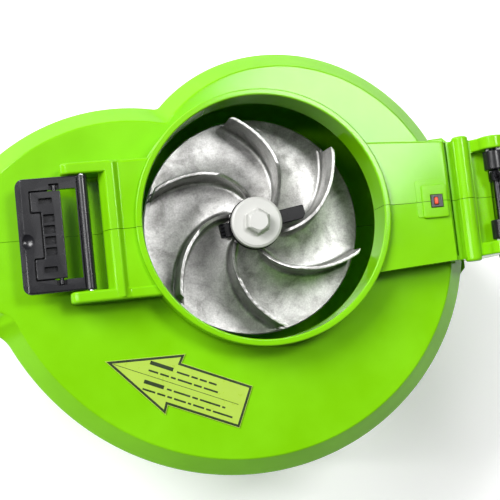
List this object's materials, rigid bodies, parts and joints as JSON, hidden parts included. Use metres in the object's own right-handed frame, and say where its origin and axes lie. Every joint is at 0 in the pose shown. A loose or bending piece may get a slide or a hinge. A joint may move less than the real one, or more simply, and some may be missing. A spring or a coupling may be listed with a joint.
{
  "type": "leaf blower and vacuum power unit",
  "caption": "Electric leaf blower and vacuum power unit lying intake up, with open hinged gate, draw latch, volute fan housing, bladed impeller, loop handle and outlet collar.",
  "frame": {"origin": "on the impeller axis, at the flat end of the motor cover that the machine lies on", "axes": "+Z along the impeller axis out of the intake, +X along the housing seam towards the gate hinge and handle, -X out of the tube outlet"},
  "size_m": [0.4545, 0.2622, 0.4205],
  "materials": {
    "housing_green": "moulded satin gloss lime green plastic",
    "cover_black": "fine matte moulded black plastic",
    "gate_black": "satin moulded black plastic",
    "latch_black": "satin gloss moulded black plastic",
    "grip_rubber": "matte soft grip",
    "cast_aluminium": "as cast, tumbled",
    "nut_white": "satin white",
    "blade_steel": "black coated steel",
    "dark_steel": "blackened steel",
    "bright_steel": "plain zinc plated",
    "core_steel": "stacked electrical sheet",
    "copper": "lacquered copper wire and bars",
    "carbon": "pressed graphite",
    "plunger_red": "satin red plastic",
    "label_film": "printed film"
  },
  "bodies": {
    "housing": {"arrow_label": "label_film", "brush_holder_left": "cover_black", "brush_holder_right": "cover_black", "carbon_brush_left": "carbon", "carbon_brush_right": "carbon", "cord_hook": "cover_black", "fan_housing_left": "housing_green", "fan_housing_right": "housing_green", "field_coil_front": "copper", "field_coil_rear": "copper", "front_bearing": "bright_steel", "handle_grip_pad": "grip_rubber", "handle_left": "housing_green", "handle_right": "housing_green", "handle_screw_1": "bright_steel", "handle_screw_2": "bright_steel", "handle_screw_3": "bright_steel", "handle_screw_4": "bright_steel", "hinge_pin": "dark_steel", "hinge_spring": "dark_steel", "housing_screw_1": "bright_steel", "housing_screw_2": "bright_steel", "housing_screw_3": "bright_steel", "housing_screw_4": "bright_steel", "inlet_prong_left": "bright_steel", "inlet_prong_right": "bright_steel", "interlock_guide": "cover_black", "interlock_switch": "cover_black", "latch_pin": "bright_steel", "motor_cover": "cover_black", "motor_mount": "cast_aluminium", "motor_screw_front": "bright_steel", "motor_screw_rear": "bright_steel", "power_inlet": "cover_black", "rear_bearing": "bright_steel", "stator_core": "core_steel", "trigger_pin": "bright_steel", "trigger_switch": "cover_black"},
    "rotor": {"motor_shaft": "bright_steel", "armature": "copper", "commutator": "copper", "cooling_fan": "cover_black", "impeller_washer": "bright_steel", "impeller": "cast_aluminium", "mulching_blade": "blade_steel", "impeller_nut": "nut_white"},
    "gate": {"intake_gate": "gate_black"},
    "lever": {"latch_lever": "latch_black"},
    "bail": {"latch_bail": "latch_black"},
    "plunger": {"interlock_plunger": "plunger_red"},
    "trigger_lever": {"trigger": "cover_black"},
    "catch": {"tube_catch": "cover_black"}
  },
  "joints": [
    {"name": "impeller_spin", "type": "hinge", "parent": "housing", "child": "rotor", "pos_m": [0, 0, 0.12], "axis": [0, 0, 1], "continuous": true},
    {"name": "gate_hinge", "type": "hinge", "parent": "housing", "child": "gate", "pos_m": [0.147, 0, 0.192], "axis": [0, 1, 0], "range_deg": [-110, 0]},
    {"name": "latch_lever_hinge", "type": "hinge", "parent": "housing", "child": "lever", "pos_m": [-0.107, 0, 0.185], "axis": [0, 1, 0], "range_deg": [0, 75]},
    {"name": "latch_bail_hinge", "type": "hinge", "parent": "lever", "child": "bail", "pos_m": [-0.1235, 0, 0.185], "axis": [0, 1, 0], "range_deg": [0, 150]},
    {"name": "interlock_travel", "type": "slide", "parent": "housing", "child": "plunger", "axis": [0, 0, -1], "range_m": [0, 0.002], "stiffness_N_per_m": 200},
    {"name": "trigger_hinge", "type": "hinge", "parent": "housing", "child": "trigger_lever", "pos_m": [0.108, 0, 0.0245], "axis": [0, 1, 0], "range_deg": [-9, 0], "stiffness_Nm_per_rad": 0.5},
    {"name": "tube_catch_travel", "type": "slide", "parent": "housing", "child": "catch", "axis": [0, 0, -1], "range_m": [0, 0.0028], "stiffness_N_per_m": 300}
  ]
}
